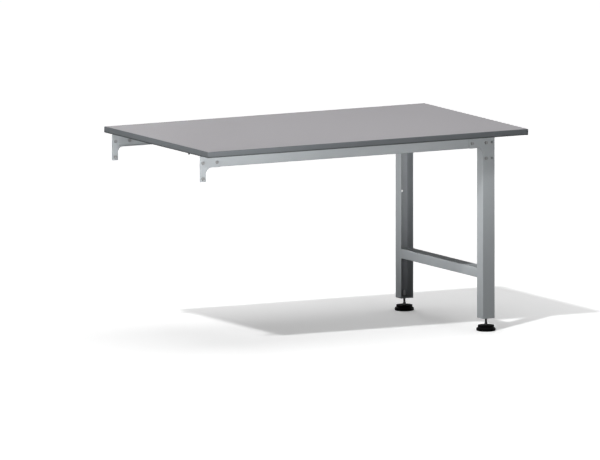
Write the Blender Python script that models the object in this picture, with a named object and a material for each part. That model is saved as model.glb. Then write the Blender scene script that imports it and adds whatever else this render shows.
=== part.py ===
"""Antistatic packing table, add-on unit.

A laminated worktop lies on a front and a rear rail. At the right-hand end two channel legs, joined by a crossbar
and standing on screw feet, carry the rails. At the left-hand end two flat hanger plates reach down to be bolted to
the legs of the table next to it. Metres, +Z up, front towards -Y, origin on the floor under the worktop's middle.
"""

import math

import bmesh
import bpy

# Worktop
TOP_LENGTH = 1.500
TOP_DEPTH = 0.900
TABLE_HEIGHT = 0.840
TOP_THICKNESS = 0.025
LAMINATE_THICKNESS = 0.0010
BACKING_THICKNESS = 0.0008
EDGE_STRIP_THICKNESS = 0.0030
EDGE_ROUNDING = 0.0022

# Legs and crossbar
LEG_WIDTH = 0.057
LEG_DEPTH = 0.050
LEG_WALL = 0.0025
LEG_BEND_RADIUS = 0.0030
LEG_BOTTOM_HEIGHT = 0.053
LEG_INSET = 0.118
FRAME_SETBACK = 0.072
LEG_HOLE_DIAMETER = 0.010
LEG_HOLE_HEIGHT = 0.493
CROSSBAR_DEPTH = 0.040
CROSSBAR_WALL = 0.0020
CROSSBAR_CORNER = 0.0025
CROSSBAR_BOTTOM_HEIGHT = 0.220

# Rails and hanger plates
RAIL_HEIGHT = 0.050
RAIL_FLANGE = 0.020
RAIL_WALL = 0.0025
RAIL_BEND_RADIUS = 0.0040
PLATE_THICKNESS = 0.0030
PLATE_PAIR_GAP = 0.0010
PLATE_FILLET = 0.027
PLATE_END_MARGIN = 0.014
LAND_RISE = 0.0001

# Bolts, nuts and top screws
BOLT_DIAMETER = 0.008
BOLT_LENGTH = 0.016
BOLT_HEAD_HEIGHT = 0.0053
BOLT_NUT_HEIGHT = 0.0065
BOLT_HEX = 0.013
BOLT_SPACING = 0.065
BOLT_ROW_DROP = 0.029
SCREWS_PER_RAIL = 3
SCREW_DIAMETER = 0.0045
SCREW_HEAD_DIAMETER = 0.0095
SCREW_HEAD_HEIGHT = 0.0030
SCREW_HEAD_ROUNDING = 0.0015
SCREW_TIP_DIAMETER = 0.0015
SCREW_DEPTH_IN_CORE = 0.013
SCREW_END_MARGIN = 0.150

# Earthing stud under the worktop
STUD_DIAMETER = 0.008
STUD_DROP = 0.0185
STUD_DEPTH_IN_CORE = 0.012
STUD_FROM_LEFT = 0.050
STUD_FROM_FRONT = 0.256
STUD_HEX = 0.013
STUD_NUT_HEIGHT = 0.0065
STUD_WASHER_DIAMETER = 0.018
STUD_WASHER_THICKNESS = 0.0016

# Screw feet
PAD_DIAMETER = 0.080
PAD_BASE_HEIGHT = 0.014
PAD_TIER_DIAMETER = 0.068
PAD_HEIGHT = 0.024
PAD_TIER_ROUNDING = 0.0010
PAD_BASE_ROUNDING = 0.0050
SOLE_THICKNESS = 0.0030
SOLE_PROUD = 0.0010
SOLE_RIM = 0.0040
STEM_DIAMETER = 0.010
STEM_HEX = 0.012
STEM_HEX_HEIGHT = 0.010
STEM_THREAD_LENGTH = 0.050
STEM_SEAT_DEPTH = 0.012
STEM_TIP_CHAMFER = 0.0012
FOOT_PLATE_THICKNESS = 0.0040
FOOT_NUT_HEX = 0.017
FOOT_NUT_HEIGHT = 0.0080

# Fits
SEAT_GAP = 0.0003
HOLE_CLEARANCE = 0.0005
HOLE_OVERRUN = 0.002

# Facets: the count of sides on round pieces, a multiple of six where a hexagon meets a round
FASTENER_SIDES = 12
STEM_SIDES = 24
PAD_SIDES = 48
HOLE_SIDES = 16
BEND_STEPS = 3
FILLET_STEPS = 8
SHARP_ANGLE = math.radians(35)

# Finishes: colour, roughness, metallic
GREY_LAMINATE = ((0.374, 0.361, 0.376), 0.55, 0.0)
DARK_EDGING = ((0.160, 0.170, 0.178), 0.50, 0.0)
CHIPBOARD = ((0.420, 0.300, 0.180), 0.85, 0.0)
BACKING_PAPER = ((0.300, 0.295, 0.300), 0.70, 0.0)
SILVER_PAINT = ((0.440, 0.460, 0.470), 0.42, 0.2)
ZINC_PLATE = ((0.560, 0.570, 0.580), 0.30, 1.0)
BLACK_STEEL = ((0.085, 0.085, 0.090), 0.45, 0.6)
BLACK_NYLON = ((0.012, 0.012, 0.013), 0.55, 0.0)
BLACK_RUBBER = ((0.008, 0.008, 0.008), 0.85, 0.0)

# Places that follow from the sizes
HALF_LENGTH = TOP_LENGTH / 2
HALF_DEPTH = TOP_DEPTH / 2
UNDERSIDE = TABLE_HEIGHT - TOP_THICKNESS
FRAME_TOP = UNDERSIDE - SEAT_GAP
LEG_RIGHT = HALF_LENGTH - LEG_INSET
LEG_LEFT = LEG_RIGHT - LEG_WIDTH
LEG_X = LEG_RIGHT - LEG_WIDTH / 2
OUTER_FACE = HALF_DEPTH - FRAME_SETBACK
LEG_Y = OUTER_FACE - LEG_DEPTH / 2
ARM_WIDTH = (LEG_WIDTH - PLATE_PAIR_GAP) / 2
ARM_DROP = BOLT_ROW_DROP + BOLT_SPACING + PLATE_END_MARGIN
PLATE_LENGTH = ARM_WIDTH / 2 + BOLT_SPACING + PLATE_END_MARGIN
RAIL_LEFT = -HALF_LENGTH + LEG_WIDTH / 2 + SEAT_GAP
RAIL_RIGHT = LEG_LEFT - SEAT_GAP
LAND_TOP = BOLT_ROW_DROP + BOLT_HEX
LAND_BOTTOM = RAIL_HEIGHT + PLATE_FILLET
BOLT_HOLE_RADIUS = BOLT_DIAMETER / 2 + HOLE_CLEARANCE
SCREW_HOLE_RADIUS = SCREW_DIAMETER / 2 + HOLE_CLEARANCE
STUD_HOLE_RADIUS = STUD_DIAMETER / 2 + SEAT_GAP
CORE_BOTTOM = UNDERSIDE + BACKING_THICKNESS + SEAT_GAP
CORE_TOP = TABLE_HEIGHT - LAMINATE_THICKNESS - SEAT_GAP
STUD_X = -HALF_LENGTH + STUD_FROM_LEFT
STUD_Y = -HALF_DEPTH + STUD_FROM_FRONT
SIDES = {"front": -1, "rear": 1}


def clear_scene():
    """Empty the scene of its objects."""
    for old in list(bpy.data.objects):
        bpy.data.objects.remove(old, do_unlink=True)


def finish(name, look):
    """Give a piece its own material."""
    colour, roughness, metallic = look
    material = bpy.data.materials.new(name)
    material.use_nodes = True
    shader = material.node_tree.nodes["Principled BSDF"]
    shader.inputs["Base Color"].default_value = (*colour, 1.0)
    shader.inputs["Roughness"].default_value = roughness
    shader.inputs["Metallic"].default_value = metallic
    return material


def add_piece(name, bm, look, smooth=False):
    """Close a bmesh into a named object with its own finish."""
    bmesh.ops.recalc_face_normals(bm, faces=bm.faces)
    mesh = bpy.data.meshes.new(name)
    bm.to_mesh(mesh)
    bm.free()
    if smooth:
        mesh.shade_smooth()
        mesh.set_sharp_from_angle(angle=SHARP_ANGLE)
    mesh.materials.append(finish(name, look))
    piece = bpy.data.objects.new(name, mesh)
    bpy.context.scene.collection.objects.link(piece)
    return piece


def solid(name, walls, caps, place, look):
    """Join walls and caps into one body; place(u, v, station) gives a point in space.

    Each wall is a loop of (u, v) points with the stations that it runs through, each cap a polygon with its station.
    """
    bm = bmesh.new()
    verts = {}

    def vert(point, station):
        key = (round(point[0], 7), round(point[1], 7), station)
        if key not in verts:
            verts[key] = bm.verts.new(place(*point, station))
        return verts[key]
    for loop, stations in walls:
        for a, b in zip(loop, [*loop[1:], loop[0]]):
            for low, high in zip(stations, stations[1:]):
                bm.faces.new((vert(a, low), vert(b, low), vert(b, high), vert(a, high)))
    for polygon, station in caps:
        bm.faces.new([vert(point, station) for point in polygon])
    return add_piece(name, bm, look)


def prism(name, outline, stations, place, look):
    """Sweep an outline through stations along its length."""
    caps = [(outline, stations[0]), (outline, stations[-1])]
    return solid(name, [(outline, stations)], caps, place, look)


def loft(name, rings, look, closed=False):
    """Join rings of equal count into a skin; open ends are capped, a closed loft is a ring with a bore."""
    bm = bmesh.new()
    loops = [[bm.verts.new(point) for point in ring] for ring in rings]
    followers = loops[1:] + (loops[:1] if closed else [])
    for low, high in zip(loops, followers):
        for i in range(len(low)):
            j = (i + 1) % len(low)
            bm.faces.new((low[i], low[j], high[j], high[i]))
    if not closed:
        bm.faces.new(loops[0])
        bm.faces.new(loops[-1])
    return add_piece(name, bm, look, smooth=True)


def round_ring(radius, z, sides):
    """A circle of points about the Z axis."""
    turns = [2 * math.pi * i / sides for i in range(sides)]
    return [(radius * math.cos(t), radius * math.sin(t), z) for t in turns]


def hex_ring(width, z, sides):
    """A hexagon of the given width across flats, with its points at even angles."""
    ring = []
    for i in range(sides):
        turn = 2 * math.pi * i / sides
        off_flat = (turn + math.pi / 6) % (math.pi / 3) - math.pi / 6
        reach = width / 2 / math.cos(math.pi / 6 - abs(off_flat))
        ring.append((reach * math.cos(turn), reach * math.sin(turn), z))
    return ring


def arc(centre_u, centre_v, radius, start, end, steps):
    """Points of an arc, both ends included, with angles in degrees."""
    turns = [math.radians(start + (end - start) * i / steps) for i in range(steps + 1)]
    return [(centre_u + radius * math.cos(t), centre_v + radius * math.sin(t)) for t in turns]


def hole_loop(u, v, radius):
    """The points of a round hole in a flat face, from its far end in u round by +v."""
    return [(u + x, v + y) for x, y, _ in round_ring(radius, 0, HOLE_SIDES)]


def lower_half(loop):
    """The half of a hole's loop on its +v side, from low u to high u."""
    return loop[HOLE_SIDES // 2::-1]


def upper_half(loop):
    """The half of a hole's loop on its -v side, from high u to low u."""
    return [loop[0], *loop[:HOLE_SIDES // 2 - 1:-1]]


def channel_outline(width, depth, wall, bend):
    """A folded channel: the web lies along u at v = 0, and the flanges stand towards +v."""
    far = width - bend
    inner = bend - wall
    outline = [(0, depth)]
    outline += arc(bend, bend, bend, 180, 270, BEND_STEPS)
    outline += [(width / 2, 0)]
    outline += arc(far, bend, bend, 270, 360, BEND_STEPS)
    outline += [(width, depth), (width - wall, depth)]
    outline += arc(far, bend, inner, 0, -90, BEND_STEPS)
    outline += arc(bend, bend, inner, 270, 180, BEND_STEPS)
    outline += [(wall, depth)]
    return outline


def rounded_rectangle(width, height, corner):
    """A rectangle about the origin with rounded corners."""
    across, up = width / 2 - corner, height / 2 - corner
    outline = []
    for quarter, (u, v) in enumerate(((1, 1), (-1, 1), (-1, -1), (1, -1))):
        outline += arc(u * across, v * up, corner, 90 * quarter, 90 * quarter + 90, BEND_STEPS)
    return outline


def slab(name, x_range, y_range, z_range, look):
    """A flat rectangular board."""
    (x0, x1), (y0, y1) = x_range, y_range
    corners = [(x0, y0), (x1, y0), (x1, y1), (x0, y1)]
    return prism(name, corners, z_range, lambda x, y, z: (x, y, z), look)


def cut_holes(piece, axis, holes):
    """Cut round holes through a piece; each hole is (start point, radius, length) along the axis 'Y' or 'Z'."""
    bm = bmesh.new()
    for (x, y, z), radius, length in holes:
        near = []
        far = []
        for u, v, _ in round_ring(radius, 0, HOLE_SIDES):
            if axis == "Y":
                near.append(bm.verts.new((x + u, y, z + v)))
                far.append(bm.verts.new((x + u, y + length, z + v)))
            else:
                near.append(bm.verts.new((x + u, y + v, z)))
                far.append(bm.verts.new((x + u, y + v, z + length)))
        for i in range(HOLE_SIDES):
            j = (i + 1) % HOLE_SIDES
            bm.faces.new((near[i], near[j], far[j], far[i]))
        bm.faces.new(near)
        bm.faces.new(far)
    bmesh.ops.recalc_face_normals(bm, faces=bm.faces)
    mesh = bpy.data.meshes.new(piece.name + "_cutter")
    bm.to_mesh(mesh)
    bm.free()
    cutter = bpy.data.objects.new(piece.name + "_cutter", mesh)
    cutter.hide_render = True
    cutter.display_type = "WIRE"
    bpy.context.scene.collection.objects.link(cutter)
    cut = piece.modifiers.new("holes", "BOOLEAN")
    cut.operation = "DIFFERENCE"
    cut.solver = "EXACT"
    cut.object = cutter


def web_hole(side, x, z, radius, wall):
    """A hole through a wall whose outer face is the frame's outer face, on the front or the rear side."""
    inner = OUTER_FACE - wall
    start = -OUTER_FACE if side < 0 else inner
    return (x, start - HOLE_OVERRUN, z), radius, wall + 2 * HOLE_OVERRUN


def screw_places():
    """Where the top screws stand on each rail, as (x, y) by the rail's name."""
    first = RAIL_LEFT + SCREW_END_MARGIN
    step = (RAIL_RIGHT - SCREW_END_MARGIN - first) / (SCREWS_PER_RAIL - 1)
    middle = OUTER_FACE - (RAIL_BEND_RADIUS + RAIL_FLANGE) / 2
    return {name: [(first + i * step, side * middle) for i in range(SCREWS_PER_RAIL)] for name, side in SIDES.items()}


def worktop():
    """Core board, antistatic laminate, backing sheet and four edge strips."""
    inset = EDGE_STRIP_THICKNESS + SEAT_GAP
    across = (-HALF_LENGTH + inset, HALF_LENGTH - inset)
    along = (-HALF_DEPTH + inset, HALF_DEPTH - inset)
    slab("worktop_laminate", across, along, (TABLE_HEIGHT - LAMINATE_THICKNESS, TABLE_HEIGHT), GREY_LAMINATE)
    core = slab("worktop_core", across, along, (CORE_BOTTOM, CORE_TOP), CHIPBOARD)
    backing = slab("worktop_backing", across, along, (UNDERSIDE, UNDERSIDE + BACKING_THICKNESS), BACKING_PAPER)
    pilots = []
    passages = []
    for places in screw_places().values():
        for x, y in places:
            reach = SCREW_DEPTH_IN_CORE + SEAT_GAP + HOLE_OVERRUN
            pilots.append(((x, y, CORE_BOTTOM - HOLE_OVERRUN), SCREW_HOLE_RADIUS, reach))
            passages.append(((x, y, UNDERSIDE - HOLE_OVERRUN), SCREW_HOLE_RADIUS,
                             BACKING_THICKNESS + 2 * HOLE_OVERRUN))
    reach = STUD_DEPTH_IN_CORE + SEAT_GAP + HOLE_OVERRUN
    pilots.append(((STUD_X, STUD_Y, CORE_BOTTOM - HOLE_OVERRUN), STUD_HOLE_RADIUS, reach))
    passages.append(((STUD_X, STUD_Y, UNDERSIDE - HOLE_OVERRUN), STUD_HOLE_RADIUS,
                     BACKING_THICKNESS + 2 * HOLE_OVERRUN))
    cut_holes(core, "Z", pilots)
    cut_holes(backing, "Z", passages)

    thick, tall, bend = EDGE_STRIP_THICKNESS, TOP_THICKNESS, EDGE_ROUNDING
    profile = [(0, 0), *arc(thick - bend, bend, bend, -90, 0, BEND_STEPS)]
    profile += [*arc(thick - bend, tall - bend, bend, 0, 90, BEND_STEPS), (0, tall)]
    for name, side in SIDES.items():
        def long_edge(u, v, x, side=side):
            return x, side * (HALF_DEPTH - thick + u), UNDERSIDE + v
        prism(f"edge_strip_{name}", profile, (-HALF_LENGTH, HALF_LENGTH), long_edge, DARK_EDGING)
    for name, side in (("left", -1), ("right", 1)):
        def short_edge(u, v, y, side=side):
            return side * (HALF_LENGTH - thick + u), y, UNDERSIDE + v
        prism(f"edge_strip_{name}", profile, along, short_edge, DARK_EDGING)


def rail(name, side):
    """A channel rail under the worktop's edge, opening inwards, with its bolt and screw holes."""
    def place(u, v, x):
        return x, side * (OUTER_FACE - v), FRAME_TOP - u
    outline = channel_outline(RAIL_HEIGHT, RAIL_FLANGE, RAIL_WALL, RAIL_BEND_RADIUS)
    piece = prism(f"{name}_rail", outline, (RAIL_LEFT, RAIL_RIGHT), place, SILVER_PAINT)
    row = FRAME_TOP - BOLT_ROW_DROP
    left = -HALF_LENGTH + ARM_WIDTH / 2 + BOLT_SPACING
    right = LEG_LEFT + ARM_WIDTH / 2 - BOLT_SPACING
    cut_holes(piece, "Y", [web_hole(side, x, row, BOLT_HOLE_RADIUS, RAIL_WALL) for x in (left, right)])
    start = FRAME_TOP - RAIL_WALL - HOLE_OVERRUN
    length = RAIL_WALL + 2 * HOLE_OVERRUN
    cut_holes(piece, "Z", [((x, y, start), SCREW_HOLE_RADIUS, length) for x, y in screw_places()[name]])


def plate_bolts():
    """Places of a hanger plate's three bolts, measured from its outer top corner: along and down."""
    middle = ARM_WIDTH / 2
    return {
        "corner": (middle, BOLT_ROW_DROP),
        "arm": (middle, BOLT_ROW_DROP + BOLT_SPACING),
        "rail": (middle + BOLT_SPACING, BOLT_ROW_DROP),
    }


def plate_corners():
    """Each plate's outer top corner and the way that it runs along the rail from there."""
    return {"left": (-HALF_LENGTH, 1), "right": (LEG_LEFT + ARM_WIDTH, -1)}


def hanger_plate(end, name, side):
    """A flat L-shaped plate with a filleted inner corner, on the outer face of rail and leg.

    Its faces are split along the bolt rows. Between the rows the arm has a slightly raised land that bears on a leg.
    """
    corner, way = plate_corners()[end]

    def place(along, down, out):
        return corner + way * along, side * out, FRAME_TOP - down
    loops = {spot: hole_loop(*centre, BOLT_HOLE_RADIUS) for spot, centre in plate_bolts().items()}
    row, low_row = BOLT_ROW_DROP, BOLT_ROW_DROP + BOLT_SPACING
    fillet = arc(ARM_WIDTH + PLATE_FILLET, LAND_BOTTOM, PLATE_FILLET, 270, 180, FILLET_STEPS)
    top = [(0, 0), (PLATE_LENGTH, 0), (PLATE_LENGTH, row)]
    land = [(0, LAND_TOP), (ARM_WIDTH, LAND_TOP), fillet[-1], (0, LAND_BOTTOM)]
    tip = [(ARM_WIDTH, low_row), (ARM_WIDTH, ARM_DROP), (0, ARM_DROP), (0, low_row)]
    outline = [*top, (PLATE_LENGTH, RAIL_HEIGHT), *fillet, *tip, land[3], land[0], (0, row)]
    around = [
        [*top, *upper_half(loops["rail"]), *upper_half(loops["corner"]), (0, row)],
        [(0, row), *lower_half(loops["corner"]), *lower_half(loops["rail"]), (PLATE_LENGTH, row),
         (PLATE_LENGTH, RAIL_HEIGHT), *fillet, land[1], land[0]],
        [land[3], fillet[-1], tip[0], *upper_half(loops["arm"]), tip[3]],
        [tip[3], *lower_half(loops["arm"]), *tip[:3]],
    ]
    near = OUTER_FACE + SEAT_GAP
    raised, far = near - LAND_RISE, near + PLATE_THICKNESS
    walls = [(loop, (near, far)) for loop in (outline, *loops.values())] + [(land, (raised, near))]
    caps = [(polygon, near) for polygon in around] + [(land, raised)]
    caps += [(polygon, far) for polygon in (*around, land)]
    solid(f"hanger_plate_{name}_{end}", walls, caps, place, SILVER_PAINT)


def leg(name, side):
    """A channel leg, opening inwards, drilled for two columns of plate bolts."""
    def place(u, v, z):
        return LEG_LEFT + u, side * (OUTER_FACE - v), z
    outline = channel_outline(LEG_WIDTH, LEG_DEPTH, LEG_WALL, LEG_BEND_RADIUS)
    stations = (LEG_BOTTOM_HEIGHT, FRAME_TOP - LAND_BOTTOM, FRAME_TOP - LAND_TOP, FRAME_TOP)
    piece = prism(f"{name}_leg", outline, stations, place, SILVER_PAINT)
    holes = []
    for x in (LEG_LEFT + ARM_WIDTH / 2, LEG_RIGHT - ARM_WIDTH / 2):
        for drop in (BOLT_ROW_DROP, BOLT_ROW_DROP + BOLT_SPACING):
            holes.append(web_hole(side, x, FRAME_TOP - drop, BOLT_HOLE_RADIUS, LEG_WALL))
    if name == "rear":
        holes.append(web_hole(side, LEG_X, LEG_HOLE_HEIGHT, LEG_HOLE_DIAMETER / 2, LEG_WALL))
    cut_holes(piece, "Y", holes)


def crossbar():
    """A tube as wide as the legs, welded between the free edges of their flanges."""
    reach = OUTER_FACE - LEG_DEPTH - SEAT_GAP
    middle = CROSSBAR_BOTTOM_HEIGHT + CROSSBAR_DEPTH / 2
    outer = rounded_rectangle(LEG_WIDTH, CROSSBAR_DEPTH, CROSSBAR_CORNER)
    inner = rounded_rectangle(LEG_WIDTH - 2 * CROSSBAR_WALL, CROSSBAR_DEPTH - 2 * CROSSBAR_WALL,
                              CROSSBAR_CORNER - CROSSBAR_WALL)
    rings = []
    for outline, y in ((outer, -reach), (outer, reach), (inner, reach), (inner, -reach)):
        rings.append([(LEG_X + u, y, middle + v) for u, v in outline])
    loft("crossbar", rings, SILVER_PAINT, closed=True)


def hex_bolt(name):
    """A hexagon bolt along +Z, with the underside of its head at the origin."""
    radius = BOLT_DIAMETER / 2
    return loft(name, [
        hex_ring(BOLT_HEX, -BOLT_HEAD_HEIGHT, FASTENER_SIDES),
        hex_ring(BOLT_HEX, 0, FASTENER_SIDES),
        round_ring(radius, 0, FASTENER_SIDES),
        round_ring(radius, BOLT_LENGTH, FASTENER_SIDES),
    ], ZINC_PLATE)


def hex_nut(name, width, height, bore_radius, look, sides):
    """A hexagon nut standing on the origin."""
    return loft(name, [
        hex_ring(width, 0, sides),
        hex_ring(width, height, sides),
        round_ring(bore_radius, height, sides),
        round_ring(bore_radius, 0, sides),
    ], look, closed=True)


def plate_fasteners(end, name, side):
    """The three bolts of one hanger plate, each with its nut behind whatever it clamps."""
    corner, way = plate_corners()[end]
    outside = OUTER_FACE + PLATE_THICKNESS + 2 * SEAT_GAP
    leg_wall = LEG_WALL if end == "right" else 0
    behind = {"corner": leg_wall, "arm": leg_wall, "rail": RAIL_WALL}
    inward = math.radians(90 * side)
    for spot, (along, down) in plate_bolts().items():
        x, z = corner + way * along, FRAME_TOP - down
        bolt = hex_bolt(f"bolt_{name}_{end}_{spot}")
        bolt.location = (x, side * outside, z)
        bolt.rotation_euler = (inward, 0, 0)
        nut = hex_nut(f"nut_{name}_{end}_{spot}", BOLT_HEX, BOLT_NUT_HEIGHT, BOLT_DIAMETER / 2 + SEAT_GAP,
                      ZINC_PLATE, FASTENER_SIDES)
        seat = OUTER_FACE - behind[spot] - SEAT_GAP if behind[spot] else OUTER_FACE
        nut.location = (x, side * seat, z)
        nut.rotation_euler = (inward, 0, 0)


def top_screws():
    """Pan-head screws that hold the worktop down on the rails' upper flanges."""
    seat = FRAME_TOP - RAIL_WALL - SEAT_GAP
    radius, head = SCREW_DIAMETER / 2, SCREW_HEAD_DIAMETER / 2
    tip = CORE_BOTTOM + SCREW_DEPTH_IN_CORE - seat
    rings = [
        round_ring(head - SCREW_HEAD_ROUNDING, -SCREW_HEAD_HEIGHT, FASTENER_SIDES),
        round_ring(head, SCREW_HEAD_ROUNDING - SCREW_HEAD_HEIGHT, FASTENER_SIDES),
        round_ring(head, 0, FASTENER_SIDES),
        round_ring(radius, 0, FASTENER_SIDES),
        round_ring(radius, tip - SCREW_DIAMETER, FASTENER_SIDES),
        round_ring(SCREW_TIP_DIAMETER / 2, tip, FASTENER_SIDES),
    ]
    for name, places in screw_places().items():
        for i, (x, y) in enumerate(places, start=1):
            screw = loft(f"top_screw_{name}_{i}", rings, ZINC_PLATE)
            screw.location = (x, y, seat)


def earth_stud():
    """The earthing stud with its washer and nut, screwed into the core from below."""
    radius = STUD_DIAMETER / 2
    stud = loft("earth_stud", [
        round_ring(radius, -STUD_DROP, FASTENER_SIDES),
        round_ring(radius, CORE_BOTTOM + STUD_DEPTH_IN_CORE - UNDERSIDE, FASTENER_SIDES),
    ], BLACK_STEEL)
    stud.location = (STUD_X, STUD_Y, UNDERSIDE)
    bore = radius + SEAT_GAP
    washer_outer = STUD_WASHER_DIAMETER / 2
    washer = loft("earth_washer", [
        round_ring(washer_outer, -STUD_WASHER_THICKNESS, STEM_SIDES),
        round_ring(washer_outer, 0, STEM_SIDES),
        round_ring(bore, 0, STEM_SIDES),
        round_ring(bore, -STUD_WASHER_THICKNESS, STEM_SIDES),
    ], ZINC_PLATE, closed=True)
    washer.location = (STUD_X, STUD_Y, UNDERSIDE - SEAT_GAP)
    nut = hex_nut("earth_nut", STUD_HEX, STUD_NUT_HEIGHT, bore, ZINC_PLATE, FASTENER_SIDES)
    nut.location = (STUD_X, STUD_Y, UNDERSIDE - STUD_WASHER_THICKNESS - 2 * SEAT_GAP - STUD_NUT_HEIGHT)


def foot_anchor(name, side):
    """The plate that closes a leg's lower end, with the nut welded on it for the foot's thread."""
    half_width = LEG_WIDTH / 2 - LEG_WALL - SEAT_GAP
    web = OUTER_FACE - LEG_WALL - SEAT_GAP - LEG_Y
    chamfer = LEG_BEND_RADIUS
    outline = [
        (-half_width, -LEG_DEPTH / 2), (half_width, -LEG_DEPTH / 2), (half_width, web - chamfer),
        (half_width - chamfer, web), (chamfer - half_width, web), (-half_width, web - chamfer),
    ]

    def place(u, v, z):
        return LEG_X + u, side * (LEG_Y + v), z
    top = LEG_BOTTOM_HEIGHT + FOOT_PLATE_THICKNESS
    plate = prism(f"foot_plate_{name}", outline, (LEG_BOTTOM_HEIGHT, top), place, SILVER_PAINT)
    passage = STEM_DIAMETER / 2 + HOLE_CLEARANCE
    length = FOOT_PLATE_THICKNESS + 2 * HOLE_OVERRUN
    cut_holes(plate, "Z", [((LEG_X, side * LEG_Y, LEG_BOTTOM_HEIGHT - HOLE_OVERRUN), passage, length)])
    nut = hex_nut(f"foot_nut_{name}", FOOT_NUT_HEX, FOOT_NUT_HEIGHT, STEM_DIAMETER / 2 + SEAT_GAP,
                  ZINC_PLATE, STEM_SIDES)
    nut.location = (LEG_X, side * LEG_Y, top + SEAT_GAP)


def screw_foot(name, side):
    """A round two-step pad with a rubber sole, and the threaded stem that turns in it."""
    axis = bpy.data.objects.new(f"foot_axis_{name}", None)
    axis.location = (LEG_X, side * LEG_Y, 0)
    bpy.context.scene.collection.objects.link(axis)

    base, tier = PAD_DIAMETER / 2, PAD_TIER_DIAMETER / 2
    bulge, ease = PAD_BASE_ROUNDING, PAD_TIER_ROUNDING
    stem, recess = STEM_DIAMETER / 2, PAD_DIAMETER / 2 - SOLE_RIM
    seat = PAD_HEIGHT - STEM_SEAT_DEPTH
    outline = [(stem + SEAT_GAP, seat), (stem + SEAT_GAP, PAD_HEIGHT)]
    outline += arc(tier - ease, PAD_HEIGHT - ease, ease, 90, 0, BEND_STEPS)
    outline += [(tier, PAD_BASE_HEIGHT)]
    outline += arc(base - bulge, PAD_BASE_HEIGHT - bulge, bulge, 90, 0, FILLET_STEPS)
    outline += [(base, SOLE_PROUD + ease), (base - ease, SOLE_PROUD)]
    outline += [(recess, SOLE_PROUD), (recess, SOLE_THICKNESS + SEAT_GAP)]
    pad = loft(f"foot_pad_{name}", [round_ring(r, z, PAD_SIDES) for r, z in outline], BLACK_NYLON)

    rim = recess - SEAT_GAP
    sole = loft(f"foot_sole_{name}", [
        round_ring(rim - SOLE_PROUD, 0, PAD_SIDES),
        round_ring(rim, SOLE_PROUD, PAD_SIDES),
        round_ring(rim, SOLE_THICKNESS, PAD_SIDES),
    ], BLACK_RUBBER)

    hex_low = PAD_HEIGHT + SEAT_GAP
    hex_high = hex_low + STEM_HEX_HEIGHT
    end = hex_high + STEM_THREAD_LENGTH
    screw = loft(f"foot_stem_{name}", [
        round_ring(stem, seat + SEAT_GAP, STEM_SIDES),
        round_ring(stem, hex_low, STEM_SIDES),
        hex_ring(STEM_HEX, hex_low, STEM_SIDES),
        hex_ring(STEM_HEX, hex_high, STEM_SIDES),
        round_ring(stem, hex_high, STEM_SIDES),
        round_ring(stem, end - STEM_TIP_CHAMFER, STEM_SIDES),
        round_ring(stem - STEM_TIP_CHAMFER, end, STEM_SIDES),
    ], BLACK_STEEL)
    for piece in (pad, sole, screw):
        piece.parent = axis


def main():
    """Build the table piece by piece."""
    clear_scene()
    worktop()
    for name, side in SIDES.items():
        rail(name, side)
        leg(name, side)
        for end in plate_corners():
            hanger_plate(end, name, side)
            plate_fasteners(end, name, side)
        foot_anchor(name, side)
        screw_foot(name, side)
    crossbar()
    top_screws()
    earth_stud()


main()
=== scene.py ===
"""Studio scene of an add-on packing table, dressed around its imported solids.

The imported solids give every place. Each class below holds the sizes of one sub-assembly, builds the
pieces that show more than the solids do, and dresses both in procedural finishes. Metres, +Z up, front
towards -Y.
"""

import logging
import math
from collections.abc import Callable, Iterable, Iterator, Sequence
from dataclasses import dataclass, field
from enum import Enum

import bmesh
import bpy
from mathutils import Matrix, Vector


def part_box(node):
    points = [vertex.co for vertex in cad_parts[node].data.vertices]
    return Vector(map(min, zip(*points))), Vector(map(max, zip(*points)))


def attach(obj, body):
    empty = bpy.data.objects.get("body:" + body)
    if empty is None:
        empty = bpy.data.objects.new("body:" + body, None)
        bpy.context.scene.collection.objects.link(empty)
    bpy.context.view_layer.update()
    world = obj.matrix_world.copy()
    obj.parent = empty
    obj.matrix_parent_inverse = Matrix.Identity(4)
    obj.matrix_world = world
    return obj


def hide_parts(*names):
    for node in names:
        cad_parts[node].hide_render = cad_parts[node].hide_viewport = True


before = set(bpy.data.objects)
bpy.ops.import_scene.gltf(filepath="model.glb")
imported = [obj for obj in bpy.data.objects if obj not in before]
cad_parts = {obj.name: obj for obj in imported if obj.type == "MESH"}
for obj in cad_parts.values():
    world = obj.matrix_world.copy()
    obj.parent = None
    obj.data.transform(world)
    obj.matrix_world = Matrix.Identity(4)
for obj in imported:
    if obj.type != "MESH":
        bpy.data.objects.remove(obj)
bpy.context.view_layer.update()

LOG = logging.getLogger("packing_table")
FRAME_BODY = "frame"
TAU = 2 * math.pi
# Edges above these angles, in degrees, stay sharp on most pieces, on fasteners and on turned feet.
PLAIN_SHARP = 40.0
HEX_SHARP = 28.0
TURNED_SHARP = 32.0
# How far a drill reaches into a wall, and past its face.
DRILL_IN = 0.005
DRILL_OUT = 0.002
# The average of a noise value.
NOISE_MEAN = 0.5
# A Mix node's sockets for colours: the first, the second and the result.
MIX_FIRST, MIX_SECOND, MIX_RESULT = 6, 7, 2

Point2 = tuple[float, float]
Point3 = tuple[float, float, float]
Colour = tuple[float, float, float]
Ring = list[Point3]
Pieces = Iterator[bpy.types.Object]

WHITE: Colour = (1.0, 1.0, 1.0)


class Word(Enum):
    """Named options whose names, in small letters, are the solids' own words."""

    @property
    def word(self) -> str:
        """The option's name as the solids use it."""
        return self.name.lower()


class Side(Word):
    """The front or the rear of the table, with the sign of its Y."""

    FRONT = -1
    REAR = 1

    def face(self, low: Vector, high: Vector) -> float:
        """The Y of a box's face on this side."""
        return low.y if self is Side.FRONT else high.y


class End(Word):
    """An end of the table, with the sign of the X that leads inwards from it."""

    LEFT = 1
    RIGHT = -1

    def face(self, low: Vector, high: Vector) -> float:
        """The X of a box's face at this end."""
        return low.x if self is End.LEFT else high.x


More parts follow.
